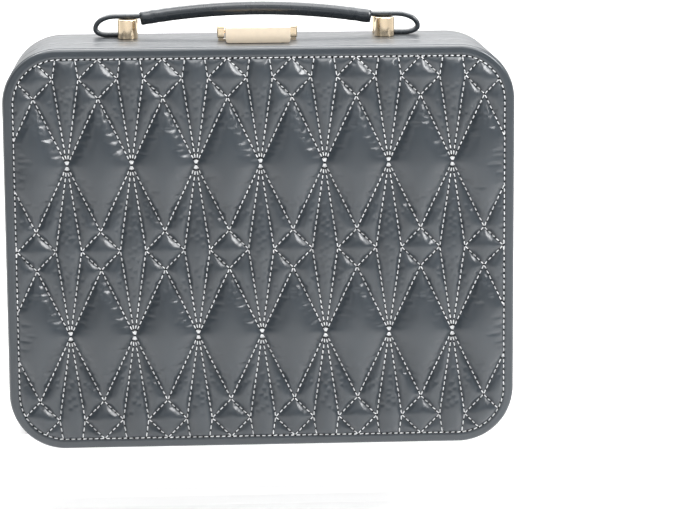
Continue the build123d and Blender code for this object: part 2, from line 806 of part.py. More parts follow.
with BuildPart() as strike_plate:
    block((-strike_half, strike_half), (strike_front, strike_back), (top_z - strike_thick, top_z))
    fillet(strike_plate.edges().filter_by(Axis.Z), 1.0)
    cut_rivet_holes(strike_rivets)
save(strike_plate, "strike_plate")

pin_length = 3.6
with BuildPart() as strike_pins:
    for x, y in strike_rivets:
        rod((x, y, top_z - 0.1 - pin_length / 2), (0, 0, 1), rivet_radius, pin_length)
save(strike_pins, "strike_rivets")
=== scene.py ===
import json
import math
import random

import bpy
from mathutils import Matrix, Vector, kdtree
from mathutils.geometry import delaunay_2d_cdt


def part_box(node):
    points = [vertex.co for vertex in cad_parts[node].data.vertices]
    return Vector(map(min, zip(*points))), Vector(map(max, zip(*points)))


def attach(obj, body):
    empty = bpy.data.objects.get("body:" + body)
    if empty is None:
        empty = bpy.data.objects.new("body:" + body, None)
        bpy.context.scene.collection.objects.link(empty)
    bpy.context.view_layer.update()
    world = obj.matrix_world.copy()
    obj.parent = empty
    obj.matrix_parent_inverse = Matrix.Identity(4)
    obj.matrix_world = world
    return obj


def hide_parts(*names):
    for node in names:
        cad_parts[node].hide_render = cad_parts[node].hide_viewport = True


# Travel jewelry case: the looks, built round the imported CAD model. Blender works in metres; the values
# below are in millimetres and go through MM, except for the lamps.
MM = 0.001

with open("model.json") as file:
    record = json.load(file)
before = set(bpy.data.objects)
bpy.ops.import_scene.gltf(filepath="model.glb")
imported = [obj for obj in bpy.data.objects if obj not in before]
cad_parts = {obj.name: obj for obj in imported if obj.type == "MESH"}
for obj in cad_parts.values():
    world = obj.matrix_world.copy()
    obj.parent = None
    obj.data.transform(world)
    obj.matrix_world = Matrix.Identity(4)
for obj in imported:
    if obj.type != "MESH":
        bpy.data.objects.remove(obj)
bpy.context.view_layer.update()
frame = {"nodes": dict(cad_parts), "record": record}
nodes = frame["nodes"]


def extent(node):
    """A CAD node's lowest and highest corner, in millimetres."""
    low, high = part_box(node)
    return low / MM, high / MM


# ---- places read from the frame -----------------------------------------------------------------
WRAP_LOW, WRAP_HIGH = extent("lid_wrap")
BODY_LOW = extent("body_wrap")[0]
COVER_HIGH = extent("quilted_cover")[1]
BACK_HIGH = extent("back_cover")[1]
FOAM_HIGH = extent("front_foam")[1]
WIDTH = WRAP_HIGH.x - WRAP_LOW.x
HEIGHT = WRAP_HIGH.z - WRAP_LOW.z
MID_Z = (WRAP_HIGH.z + WRAP_LOW.z) / 2
TOP_Z = WRAP_HIGH.z
SEAM_Y = (WRAP_HIGH.y + BODY_LOW.y) / 2
CORNER = 31.0
RIM_TURN = 3.6                  # the front and back leathers turn this far round the sides
RIM_Y = COVER_HIGH.y - RIM_TURN
BACK_Y = BACK_HIGH.y

# ---- the quilting ---------------------------------------------------------------------------------
BORDER = 6.0                    # plain leather outside the perimeter stitching
FIELD_X = WIDTH / 2 - BORDER    # half sizes of the quilted field
FIELD_Z = HEIGHT / 2 - BORDER
FIELD_CORNER = CORNER - BORDER
DIAMOND = 10.6                  # half diagonal of the small diamonds
FAN = (FIELD_Z - DIAMOND) / 2   # height of a fan's point from a row of diamonds
PITCH = 35.1                    # width of one repeat
LINE_STEP = 1.15                # spacing of mesh points along the stitch lines
FIELD_STEP = 1.75               # and between them
STITCH = 3.2                    # one stitch and its needle hole
VALLEY = 0.35                   # the stitching lies this far behind the rim's face


# ---- mesh helpers ---------------------------------------------------------------------------------
def make(name, points, faces, material, smooth=True):
    """A mesh object from points in millimetres."""
    mesh = bpy.data.meshes.new(name)
    mesh.from_pydata([[c * MM for c in p] for p in points], [], faces)
    mesh.validate()
    mesh.update()
    if smooth:
        mesh.shade_smooth()
    piece = bpy.data.objects.new(name, mesh)
    bpy.context.scene.collection.objects.link(piece)
    mesh.materials.append(material)
    return piece


def rounded(half_x, half_z, radius, step):
    """Points and outward normals round a rounded rectangle, evenly spaced, as (x, z, nx, nz)."""
    ring = []
    corners = [(1, 1, 0), (-1, 1, 90), (-1, -1, 180), (1, -1, 270)]
    for sx, sz, start in corners:
        cx, cz = sx * (half_x - radius), sz * (half_z - radius)
        count = max(2, round(radius * math.pi / 2 / step))
        for i in range(count):
            a = math.radians(start + 90 * i / count)
            ring.append((cx + radius * math.cos(a), cz + radius * math.sin(a), math.cos(a), math.sin(a)))
        a = math.radians(start + 90)
        run = 2 * (half_x - radius) if sx == sz else 2 * (half_z - radius)
        along = (-sx, 0) if sx == sz else (0, -sz)
        count = max(2, round(run / step))
        for i in range(count):
            d = run * i / count
            ring.append((cx + radius * math.cos(a) + along[0] * d, cz + radius * math.sin(a) + along[1] * d,
                         math.cos(a), math.sin(a)))
    return ring


def inside(x, z):
    """Whether a point lies in the quilted field."""
    dx = max(abs(x) - (FIELD_X - FIELD_CORNER), 0)
    dz = max(abs(z) - (FIELD_Z - FIELD_CORNER), 0)
    return abs(x) <= FIELD_X and abs(z) <= FIELD_Z and math.hypot(dx, dz) <= FIELD_CORNER


def clipped(a, b):
    """The stretch of a line that lies in the quilted field, or None."""
    steps = 400
    kept = [i for i in range(steps + 1)
            if inside(a[0] + (b[0] - a[0]) * i / steps, a[1] + (b[1] - a[1]) * i / steps)]
    if len(kept) < 8:
        return None
    ends = [kept[0] / steps, kept[-1] / steps]
    for n, way in ((0, -1), (1, 1)):
        if 0 < ends[n] < 1:
            ends[n] += way / steps / 2
    return [(a[0] + (b[0] - a[0]) * t, a[1] + (b[1] - a[1]) * t) for t in ends]


def quilt_lines():
    """The straight stitch lines of the quilting, as pairs of (x, z) points about the panel's middle."""
    lines = []
    columns = range(-4, 4)
    rows = (-1, 0, 1)
    for row in rows:
        for column in columns:
            x, z = (column + 0.5) * PITCH, row * 2 * FAN
            tips = [(x + DIAMOND, z), (x, z + DIAMOND), (x - DIAMOND, z), (x, z - DIAMOND)]
            lines += [(tips[i], tips[(i + 1) % 4]) for i in range(4)]
    for level in (-3, -1, 1, 3):
        for column in range(-4, 5):
            fan = (column * PITCH, level * FAN)
            for side in (-1, 1):
                for way in (-1, 1):
                    row = (level + way) / 2
                    x, z = fan[0] + side * PITCH / 2, (level + way) * FAN
                    if row not in rows or not -4 * PITCH < x < 4 * PITCH:
                        continue
                    lines.append(((x, z - way * DIAMOND), fan))
                    lines.append(((x - side * DIAMOND, z), fan))
    cut = [clipped(a, b) for a, b in lines]
    return [line for line in cut if line]


def quilt_mesh():
    """A flat triangle mesh that follows every stitch line: points, triangles and the stitched points."""
    points, edges = [], []
    ring = [(p[0], p[1]) for p in rounded(FIELD_X, FIELD_Z, FIELD_CORNER, LINE_STEP)]
    points += ring
    edges += [(i, (i + 1) % len(ring)) for i in range(len(ring))]
    for a, b in quilt_lines():
        count = max(2, round(math.dist(a, b) / LINE_STEP))
        first = len(points)
        points += [(a[0] + (b[0] - a[0]) * i / count, a[1] + (b[1] - a[1]) * i / count)
                   for i in range(count + 1)]
        edges += [(first + i, first + i + 1) for i in range(count)]
    stitched = len(points)
    near = kdtree.KDTree(stitched)
    for i, p in enumerate(points):
        near.insert((p[0], p[1], 0), i)
    near.balance()
    dice = random.Random(7)
    rows = int(2 * FIELD_Z / (FIELD_STEP * 0.87)) + 2
    columns = int(2 * FIELD_X / FIELD_STEP) + 2
    for r in range(rows):
        for c in range(columns):
            x = -FIELD_X + (c + 0.5 * (r % 2)) * FIELD_STEP + dice.uniform(-0.2, 0.2)
            z = -FIELD_Z + r * FIELD_STEP * 0.87 + dice.uniform(-0.2, 0.2)
            if inside(x, z) and near.find((x, z, 0))[2] > 0.75 * LINE_STEP:
                points.append((x, z))
    made = delaunay_2d_cdt([Vector(p) for p in points], edges, [], 0, 0.02)
    held = [not origins or min(origins) < stitched for origins in made[3]]
    return [(v.x, v.y) for v in made[0]], [list(f) for f in made[2]], held


FOAM_RISE = 4.7                 # how far the foam would push the leather up, far from any stitching
FOAM_REACH = 3.1                # and over what distance from the stitching it gets there
SIM_SCALE = 0.05                # the cloth is simulated enlarged: one millimetre is this many units
SIM_FRAMES = 16
SIM_PRESSURE = 3
PUFF_LIMIT = 6.0                # no point rises further than this from the stitching


def inflated(points, faces, held):
    """Heights of leather pushed up by springy foam and held down along the stitches."""
    neighbours = [set() for _ in points]
    for a, b, c in faces:
        neighbours[a] |= {b, c}
        neighbours[b] |= {a, c}
        neighbours[c] |= {a, b}
    spring = 1 / FOAM_REACH ** 2
    pulls = []
    for i, around in enumerate(neighbours):
        if not held[i]:
            pulls.append((i, [(j, 4 / len(around) / math.dist(points[i], points[j]) ** 2) for j in around]))
    heights = [0.0] * len(points)
    for _ in range(40):
        for i, around in pulls:
            total = spring + sum(w for _, w in around)
            aim = (spring * FOAM_RISE + sum(w * heights[j] for j, w in around)) / total
            heights[i] += 1.4 * (aim - heights[i])
    return heights


def puff(points, heights, faces, held):
    """Settle the inflated leather by cloth simulation, so that it creases; gives each point's place."""
    mesh = bpy.data.meshes.new("quilt_sim")
    mesh.from_pydata([(x * SIM_SCALE, -h * SIM_SCALE, z * SIM_SCALE) for (x, z), h in zip(points, heights)],
                     [], faces)
    cloth = bpy.data.objects.new("quilt_sim", mesh)
    bpy.context.scene.collection.objects.link(cloth)
    pins = cloth.vertex_groups.new(name="stitched")
    pins.add([i for i, pinned in enumerate(held) if pinned], 1, "REPLACE")
    cloth.data.update()
    facing = sum(p.normal.y * p.area for p in mesh.polygons)
    modifier = cloth.modifiers.new("cloth", "CLOTH")
    settings = modifier.settings
    settings.vertex_group_mass = "stitched"
    settings.effector_weights.gravity = 0
    settings.quality = 5
    settings.mass = 0.3
    settings.tension_stiffness = 40
    settings.compression_stiffness = 40
    settings.shear_stiffness = 15
    settings.bending_stiffness = 1.5
    settings.tension_damping = 12
    settings.compression_damping = 12
    settings.shear_damping = 12
    settings.air_damping = 3
    settings.shrink_min = -0.012
    settings.use_pressure = True
    settings.uniform_pressure_force = SIM_PRESSURE if facing < 0 else -SIM_PRESSURE
    modifier.point_cache.frame_start = 1
    modifier.point_cache.frame_end = SIM_FRAMES
    for i in range(1, SIM_FRAMES + 1):
        bpy.context.scene.frame_set(i)
    shaped = cloth.evaluated_get(bpy.context.evaluated_depsgraph_get()).data
    places = [(v.co.x / SIM_SCALE, v.co.y / SIM_SCALE, v.co.z / SIM_SCALE) for v in shaped.vertices]
    bpy.context.scene.frame_set(1)
    bpy.data.objects.remove(cloth)
    return places


# ---- materials ------------------------------------------------------------------------------------
class Nodes:
    """Short calls for building a material's node tree."""

    def __init__(self, name, **sockets):
        self.material = bpy.data.materials.new(name)
        self.material.use_nodes = True
        self.tree = self.material.node_tree
        self.shader = self.tree.nodes["Principled BSDF"]
        for socket, value in sockets.items():
            self.shader.inputs[socket.replace("_", " ")].default_value = value
        place = self.tree.nodes.new("ShaderNodeTexCoord")
        scale = self.tree.nodes.new("ShaderNodeMapping")
        scale.inputs["Scale"].default_value = (1 / MM, 1 / MM, 1 / MM)
        self.join(place.outputs["Object"], scale.inputs["Vector"])
        self.place = scale.outputs["Vector"]

    def join(self, a, b):
        self.tree.links.new(a, b)

    def stretched(self, factors):
        """The place in millimetres, scaled by a factor along each axis."""
        node = self.tree.nodes.new("ShaderNodeMapping")
        node.inputs["Scale"].default_value = factors
        self.join(self.place, node.inputs["Vector"])
        return node.outputs["Vector"]

    def noise(self, scale, detail=2.0, roughness=0.5, where=None):
        node = self.tree.nodes.new("ShaderNodeTexNoise")
        node.inputs["Scale"].default_value = scale
        node.inputs["Detail"].default_value = detail
        node.inputs["Roughness"].default_value = roughness
        self.join(where or self.place, node.inputs["Vector"])
        return node.outputs["Fac"]

    def cells(self, scale, where=None):
        node = self.tree.nodes.new("ShaderNodeTexVoronoi")
        node.feature = "SMOOTH_F1"
        node.inputs["Scale"].default_value = scale
        self.join(where or self.place, node.inputs["Vector"])
        return node.outputs["Distance"]

    def waves(self, scale, direction="X", distortion=0.0, where=None):
        node = self.tree.nodes.new("ShaderNodeTexWave")
        node.bands_direction = direction
        node.inputs["Scale"].default_value = scale
        node.inputs["Distortion"].default_value = distortion
        self.join(where or self.place, node.inputs["Vector"])
        return node.outputs["Fac"]

    def ramp(self, value, stops):
        """A colour ramp; stops are (position, grey or colour)."""
        node = self.tree.nodes.new("ShaderNodeValToRGB")
        while len(node.color_ramp.elements) < len(stops):
            node.color_ramp.elements.new(0.5)
        for element, (position, colour) in zip(node.color_ramp.elements, stops):
            element.position = position
            colour = (colour,) * 3 if isinstance(colour, (int, float)) else colour
            element.color = (*colour, 1)
        self.join(value, node.inputs["Fac"])
        return node.outputs["Color"]

    def math(self, operation, a, b):
        node = self.tree.nodes.new("ShaderNodeMath")
        node.operation = operation
        for socket, value in zip(node.inputs, (a, b)):
            if isinstance(value, (int, float)):
                socket.default_value = value
            else:
                self.join(value, socket)
        return node.outputs["Value"]

    def bump(self, height, depth, strength=1.0):
        """Bump of a given depth in millimetres, on top of any bump made before."""
        node = self.tree.nodes.new("ShaderNodeBump")
        node.inputs["Distance"].default_value = depth * MM
        node.inputs["Strength"].default_value = strength
        self.join(height, node.inputs["Height"])
        if self.shader.inputs["Normal"].is_linked:
            self.join(self.shader.inputs["Normal"].links[0].from_socket, node.inputs["Normal"])
        self.join(node.outputs["Normal"], self.shader.inputs["Normal"])

    def colour(self, output):
        self.join(output, self.shader.inputs["Base Color"])

    def roughness(self, output):
        self.join(output, self.shader.inputs["Roughness"])


def tinted(colour, factor):
    """A colour made darker or lighter."""
    return tuple(c * factor for c in colour)


def leather(name, colour, rough, grain=0.03):
    """Semi-gloss coated leatherette: fine pebble grain, faint mottling and a thin clear coat."""
    m = Nodes(name, Specular_IOR_Level=0.5, Coat_Weight=0.3, Coat_Roughness=0.2)
    mottle = m.noise(0.035, 3.0)
    m.colour(m.ramp(mottle, [(0.3, tinted(colour, 0.9)), (0.7, tinted(colour, 1.1))]))
    smears = m.noise(0.12, 4.0, 0.6)
    m.roughness(m.ramp(smears, [(0.3, rough - 0.05), (0.7, rough + 0.06)]))
    pebbles = m.cells(1.5)
    m.bump(pebbles, grain, 0.6)
    m.bump(m.noise(0.5, 2.0), grain * 2.5, 0.35)
    return m.material


def velvet(name, colour):
    """Short-pile velvet; its colour is darker where the pile's bump is low, which is painted shade, mixed with
    larger random patches of tone.
    """
    m = Nodes(name, Sheen_Weight=0.6, Sheen_Roughness=0.4, Specular_IOR_Level=0.15)
    pile = m.noise(2.2, 3.0, 0.7)
    brushed = m.noise(0.06, 2.0)
    # The colour mixes painted shade, dark where the pile's bump is low, with larger random patches.
    shade = m.math("ADD", m.math("MULTIPLY", pile, 0.45), m.math("MULTIPLY", brushed, 0.55))
    m.colour(m.ramp(shade, [(0.3, tinted(colour, 0.72)), (0.7, tinted(colour, 1.25))]))
    m.roughness(m.ramp(pile, [(0.2, 0.85), (0.8, 0.98)]))
    m.bump(pile, 0.12, 0.7)
    return m.material


def plated(name, colour, rough):
    """Polished plating with the faint streaks and dulled patches of handled metal."""
    m = Nodes(name, Metallic=1.0)
    smears = m.noise(0.25, 4.0, 0.65)
    m.colour(m.ramp(smears, [(0.3, tinted(colour, 0.95)), (0.7, tinted(colour, 1.04))]))
    m.roughness(m.ramp(smears, [(0.3, rough * 0.8), (0.75, rough * 1.35)]))
    m.bump(m.noise(4.0, 3.0), 0.0012, 0.4)
    return m.material


def fibreboard(name):
    """Bare board, seen only through the screw holes and gaps."""
    m = Nodes(name, Roughness=0.85, Specular_IOR_Level=0.2)
    fibres = m.noise(1.2, 5.0, 0.7)
    m.colour(m.ramp(fibres, [(0.3, (0.30, 0.22, 0.14)), (0.7, (0.45, 0.35, 0.24))]))
    m.bump(fibres, 0.1, 0.5)
    return m.material


def foam(name):
    """Open-cell foam; its colour is darkest in each pore's pit, which is painted shade."""
    m = Nodes(name, Roughness=0.95, Specular_IOR_Level=0.1)
    pores_and_pore_shade = m.cells(1.1)
    # Painted shade: the colour is darkest at the cells' middles, where the bump sinks into pits.
    m.colour(m.ramp(pores_and_pore_shade, [(0.0, (0.55, 0.5, 0.4)), (0.6, (0.8, 0.77, 0.68))]))
    m.bump(pores_and_pore_shade, 0.3, 0.8)
    return m.material


def thread(name):
    """Twisted polyester thread; its colour is darker in the grooves between the plies, which is painted shade.
    """
    m = Nodes(name, Roughness=0.55, Specular_IOR_Level=0.4, Sheen_Weight=0.15)
    twist_and_groove_shade = m.waves(1.1, "DIAGONAL", 0.6)
    # Painted shade: the colour follows the bump, dark at its low points, in the grooves between the plies.
    m.colour(m.ramp(twist_and_groove_shade, [(0.1, (0.42, 0.43, 0.44)), (0.6, (0.78, 0.79, 0.80))]))
    m.bump(twist_and_groove_shade, 0.08, 0.7)
    return m.material


def dark(name):
    """Painted shade: a near-black stand-in for the shadowed inside of a needle hole."""
    m = Nodes(name, Roughness=0.9, Specular_IOR_Level=0.05)
    m.colour(m.ramp(m.noise(1.0), [(0.3, 0.002), (0.7, 0.006)]))
    return m.material


def silvered(name):
    """Mirror glass with a trace of haze."""
    m = Nodes(name, Metallic=1.0)
    haze = m.noise(0.03, 3.0)
    m.colour(m.ramp(haze, [(0.3, (0.86, 0.88, 0.88)), (0.7, (0.90, 0.92, 0.92))]))
    m.roughness(m.ramp(haze, [(0.3, 0.02), (0.8, 0.05)]))
    return m.material


def satin(name, colour):
    """Woven satin."""
    m = Nodes(name, Roughness=0.42, Sheen_Weight=0.3, Specular_IOR_Level=0.5, Anisotropic=0.4)
    weave = m.waves(2.4, "Z", 0.3)
    m.colour(m.ramp(m.noise(0.1, 2.0), [(0.3, tinted(colour, 0.85)), (0.7, tinted(colour, 1.15))]))
    m.bump(weave, 0.03, 0.5)
    return m.material


SLATE = (0.025, 0.032, 0.039)
LEATHER = leather("leather", SLATE, 0.40)
QUILTED = leather("quilted_leather", SLATE, 0.34, 0.022)
HANDLE = leather("handle_leather", tinted(SLATE, 0.85), 0.27, 0.012)
VELVET = velvet("velvet", (0.19, 0.19, 0.205))
ROLL = velvet("velvet_roll", (0.24, 0.24, 0.255))
GOLD = plated("gold", (0.88, 0.72, 0.51), 0.10)
SATIN_GOLD = plated("gold_satin", (0.93, 0.80, 0.63), 0.34)
STEEL = plated("steel", (0.55, 0.56, 0.57), 0.30)
MAGNET = plated("magnet", (0.42, 0.42, 0.44), 0.22)
BOARD = fibreboard("board")
FOAM = foam("foam")
THREAD = thread("thread")
# Painted shade for the needle holes.
HOLE_SHADE = dark("needle_hole_shade")
MIRROR = silvered("mirror")
SATIN = satin("satin", (0.22, 0.22, 0.235))

FINISH = {
    "leather": LEATHER, "quilted_leather": QUILTED, "handle_leather": HANDLE, "velvet": VELVET,
    "velvet_roll": ROLL, "board": BOARD, "foam": FOAM, "gold": GOLD, "gold_satin": SATIN_GOLD, "steel": STEEL,
    "magnet": MAGNET, "mirror": MIRROR, "satin": SATIN,
}
for row in frame["record"]["subparts"]:
    shown = nodes[row["node"]]
    shown.data.materials.clear()
    shown.data.materials.append(FINISH[row["material_slot"]])


# ---- the quilted front ------------------------------------------------------------------------------
def outward(x, z, half_x, half_z, radius):
    """Unit direction away from a rounded rectangle at a point on it."""
    dx, dz = abs(x) - (half_x - radius), abs(z) - (half_z - radius)
    if dx > 1e-4 and dz > 1e-4:
        size = math.hypot(dx, dz)
        return math.copysign(dx / size, x), math.copysign(dz / size, z)
    if half_x - abs(x) < half_z - abs(z):
        return math.copysign(1, x), 0.0
    return 0.0, math.copysign(1, z)


def boundary(faces):
    """The points round the edge of a mesh, in order."""
    seen = {(face[i - 1], face[i]) for face in faces for i in range(len(face))}
    following = {a: b for a, b in seen if (b, a) not in seen}
    start = min(following)
    loop = [start]
    while following[loop[-1]] != start:
        loop.append(following[loop[-1]])
    return loop


PANEL_STEP = 0.5                # the panels stop this far inside the sides
EDGE_ROLL = 2.1


def edge_profile(rise):
    """The rim in section, outwards from the stitching: (distance out, depth behind the rim's face)."""
    edge = BORDER - PANEL_STEP
    section = [(0.45, 0.1), (0.9, -0.16 * rise), (1.6, -0.3 * rise), (2.4, -0.2 * rise), (2.9, -0.05 * rise)]
    for i in range(8):
        a = math.radians(90 * i / 7)
        section.append((edge - EDGE_ROLL * (1 - math.sin(a)), EDGE_ROLL * (1 - math.cos(a))))
    section += [(edge, RIM_TURN - 0.9), (edge - 0.1, RIM_TURN - 0.45), (edge - 0.4, RIM_TURN - 0.1)]
    section.append((edge - 1.0, RIM_TURN))
    return section


def panel(name, field, faces, face_y, way, rise, material):
    """A leather panel: its field, given in place, with the plain border that rolls over the edge."""
    points = list(field)
    loop = boundary(faces)
    made = [list(f) for f in faces]
    last = loop
    for out, deep in edge_profile(rise):
        fresh = []
        for i in loop:
            x, z = field[i][0], field[i][2] - MID_Z
            nx, nz = outward(x, z, FIELD_X, FIELD_Z, FIELD_CORNER)
            fresh.append(len(points))
            points.append((x + nx * out, face_y + way * deep, MID_Z + z + nz * out))
        made += [[last[k], fresh[k], fresh[(k + 1) % len(loop)], last[(k + 1) % len(loop)]][::-1]
                 for k in range(len(loop))]
        last = fresh
    return make(name, points, made, material)


def turned_alike(faces, flat):
    """Turn every triangle the same way round, anticlockwise in (x, z)."""
    turned = []
    for f in faces:
        (ax, az), (bx, bz), (cx, cz) = (flat[i] for i in f[:3])
        area = (bx - ax) * (cz - az) - (bz - az) * (cx - ax)
        turned.append(f if area > 0 else f[::-1])
    return turned


def refined(points, faces):
    """Split each triangle into four."""
    points = list(points)
    middles = {}

    def middle(a, b):
        key = (min(a, b), max(a, b))
        if key not in middles:
            middles[key] = len(points)
            points.append(tuple((p + q) / 2 for p, q in zip(points[a], points[b])))
        return middles[key]

    split = []
    for a, b, c in faces:
        ab, bc, ca = middle(a, b), middle(b, c), middle(c, a)
        split += [[a, ab, ca], [ab, b, bc], [ca, bc, c], [ab, bc, ca]]
    return points, split


PUCKER_DEPTH = 0.08             # small creases that run out from the stitches
PUCKER_WIDTH = 2.3              # one crease and the ridge beside it
PUCKER_REACH = 1.9              # the creases fade over this distance from the seam
PUCKER_START = 0.8              # and are at their deepest this far from it
PUCKER_END = 9.0                # past this distance there are none


def puckered(points, lines):
    """Press small creases into the leather, square to each seam and fading out away from it."""
    dice = random.Random(5)
    samples = []
    for a, b in lines:
        length = math.dist(a, b)
        strength, phase = dice.uniform(0.35, 1.0), dice.uniform(0, math.tau)
        width = PUCKER_WIDTH * dice.uniform(0.85, 1.15)
        for i in range(int(length) + 1):
            t = min(i / length, 1)
            samples.append((a[0] + (b[0] - a[0]) * t, a[1] + (b[1] - a[1]) * t, a, b, strength, phase, width))
    near = kdtree.KDTree(len(samples))
    for i, sample in enumerate(samples):
        near.insert((sample[0], sample[1], 0), i)
    near.balance()
    creased = []
    for x, y, z in points:
        found, i, away = near.find((x, z, 0))
        if away > PUCKER_END:
            creased.append((x, y, z))
            continue
        _, _, a, b, strength, phase, width = samples[i]
        length = math.dist(a, b)
        dx, dz = (b[0] - a[0]) / length, (b[1] - a[1]) / length
        along = (x - a[0]) * dx + (z - a[1]) * dz
        off = abs((z - a[1]) * dx - (x - a[0]) * dz)
        fade = min(off / PUCKER_START, 1) * math.exp(-max(off - PUCKER_START, 0) / PUCKER_REACH)
        swell = 0.6 + 0.4 * math.sin(along / 5.3 + 2 * phase)
        wave = math.sin(math.tau * along / width + phase + 0.9 * math.sin(along / 3.1 + phase))
        creased.append((x, y - PUCKER_DEPTH * strength * swell * fade * wave, z))
    return creased


def quilted_front():
    """The quilted leather panel; gives the points of its field, in place."""
    flat, triangles, stitched = quilt_mesh()
    triangles = turned_alike(triangles, flat)
    heights = inflated(flat, triangles, stitched)
    shaped = puff(flat, heights, triangles, stitched)
    shaped, triangles = refined([(x, max(y, -PUFF_LIMIT), z) for x, y, z in shaped], triangles)
    shaped = puckered(shaped, quilt_lines())
    field = [(x, RIM_Y + VALLEY + y, MID_Z + z) for x, y, z in shaped]
    front = panel("quilted_front", field, triangles, RIM_Y, 1, 1.0, QUILTED)
    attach(front, "lid")
    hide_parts("quilted_cover")
    return field


quilt_field = quilted_front()


# ---- the foam behind the quilting -------------------------------------------------------------------
def plain_mesh(step):
    """A flat triangle mesh of the field, with no stitch lines."""
    ring = [(p[0], p[1]) for p in rounded(FIELD_X, FIELD_Z, FIELD_CORNER, step / 2)]
    points = list(ring)
    edges = [(i, (i + 1) % len(ring)) for i in range(len(ring))]
    rows, columns = int(2 * FIELD_Z / step), int(2 * FIELD_X / step)
    for r in range(1, rows):
        for c in range(1, columns):
            x, z = -FIELD_X + 2 * FIELD_X * c / columns, -FIELD_Z + 2 * FIELD_Z * r / rows
            if depth_inside(x, z) > step / 3:
                points.append((x, z))
    made = delaunay_2d_cdt([Vector(p) for p in points], edges, [], 0, 0.02)
    flat = [(v.x, v.y) for v in made[0]]
    return flat, turned_alike([list(f) for f in made[2]], flat)


def depth_inside(x, z):
    """How far a point is inside the field's outline."""
    dx, dz = abs(x) - (FIELD_X - FIELD_CORNER), abs(z) - (FIELD_Z - FIELD_CORNER)
    if dx > 0 and dz > 0:
        return FIELD_CORNER - math.hypot(dx, dz)
    return FIELD_CORNER - max(dx, dz)


FOAM_STEP = 4.0
LEATHER_THICK = 0.9


def foam_pad(cover, back_y):
    """The foam behind the quilted leather: it fills each puff and is pinched flat along the stitching."""
    near = kdtree.KDTree(len(cover))
    for i, (x, y, z) in enumerate(cover):
        near.insert((x, 0, z - MID_Z), i)
    near.balance()
    flat, faces = plain_mesh(FOAM_STEP)
    n = len(flat)
    points = []
    for x, z in flat:
        found = near.find_range((x, 0, z), FOAM_STEP * 0.72)
        deepest = max(cover[i][1] for _, i, _ in found)
        points.append((x, min(deepest + LEATHER_THICK, back_y - 0.2), MID_Z + z))
    points += [(x, back_y, MID_Z + z) for x, z in flat]
    made = faces + [[i + n for i in f[::-1]] for f in faces]
    loop = boundary(faces)
    made += [[a, a + n, b + n, b] for a, b in zip(loop, loop[1:] + loop[:1])]
    piece = make("foam_pad", points, made, FOAM)
    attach(piece, "lid")
    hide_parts("front_foam")


foam_pad(quilt_field, FOAM_HIGH.y)


# ---- stitching --------------------------------------------------------------------------------------
def stitch_places(path):
    """Even stitches along a path of (x, z) points: the middle and direction of each, and the gaps' middles."""
    lengths = [math.dist(a, b) for a, b in zip(path, path[1:])]
    total = sum(lengths)
    count = max(1, round(total / STITCH))
    places, gaps = [], []
    targets = [((i + 0.5) * total / count, places) for i in range(count)]
    targets += [(i * total / count, gaps) for i in range(count + 1)]
    for target, found in targets:
        k = 0
        while k < len(lengths) - 1 and target > lengths[k]:
            target -= lengths[k]
            k += 1
        (ax, az), (bx, bz) = path[k], path[k + 1]
        t = min(target / lengths[k], 1)
        d = ((bx - ax) / lengths[k], (bz - az) / lengths[k])
        found.append((ax + (bx - ax) * t, az + (bz - az) * t, *d))
    return places, gaps, total / count


THREAD_RADIUS = 0.31
THREAD_SHARE = 0.70             # share of a stitch's length that shows
THREAD_LIFT = 0.3               # the threads lie this far above the valley
HOLE_LONG = 0.55                # half sizes of the painted shade at a needle hole
HOLE_WIDE = 0.36
# A stitch in section: (place along its half length, share of its radius, depth it sinks).
THREAD_SECTIONS = [(-1, 0.35, 0.30), (-0.82, 0.8, 0.08), (-0.35, 1.0, 0), (0.35, 1.0, 0),
                   (0.82, 0.8, 0.08), (1, 0.35, 0.30)]


def sew(name, paths, y, way, body):
    """Threads, and near-black discs of painted shade at the needle holes between them, along paths of (x, z)
    points about the panel's middle.
    """
    dice = random.Random(11)
    threads, thread_faces, holes, hole_faces = [], [], [], []
    for path in paths:
        places, gaps, pitch = stitch_places(path)
        for x, z, dx, dz in places:
            turn = dice.uniform(0.0, 0.16)
            dx, dz = dx * math.cos(turn) - dz * math.sin(turn), dx * math.sin(turn) + dz * math.cos(turn)
            half = pitch * THREAD_SHARE / 2 * dice.uniform(0.94, 1.05)
            first = len(threads)
            for along, size, sink in THREAD_SECTIONS:
                for s in range(6):
                    a = math.tau * s / 6
                    side, up = THREAD_RADIUS * size * math.cos(a), THREAD_RADIUS * size * math.sin(a)
                    threads.append((x + dx * half * along - dz * side,
                                    y - way * (up + THREAD_LIFT - sink),
                                    MID_Z + z + dz * half * along + dx * side))
            for k in range(len(THREAD_SECTIONS) - 1):
                for s in range(6):
                    a, b = first + 6 * k + s, first + 6 * k + (s + 1) % 6
                    thread_faces.append([a, b, b + 6, a + 6])
            thread_faces.append([first + s for s in range(6)][::-1])
            thread_faces.append([first + 6 * (len(THREAD_SECTIONS) - 1) + s for s in range(6)])
        # A near-black disc at each gap between stitches: painted shade where the leather dips into the needle
        # hole.
        for x, z, dx, dz in gaps:
            first = len(holes)
            for s in range(8):
                a = math.tau * s / 8
                long, wide = HOLE_LONG * math.cos(a), HOLE_WIDE * math.sin(a)
                holes.append((x + dx * long - dz * wide, y - way * (0.26 + 0.8 * abs(wide)),
                              MID_Z + z + dz * long + dx * wide))
            holes.append((x, y + way * 0.5, MID_Z + z))
            hole_faces += [[first + s, first + (s + 1) % 8, first + 8] for s in range(8)]
    for label, points, faces, material in ((f"{name}_stitches", threads, thread_faces, THREAD),
                                           (f"{name}_needle_hole_shades", holes, hole_faces, HOLE_SHADE)):
        piece = make(label, points, faces, material)
        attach(piece, body)


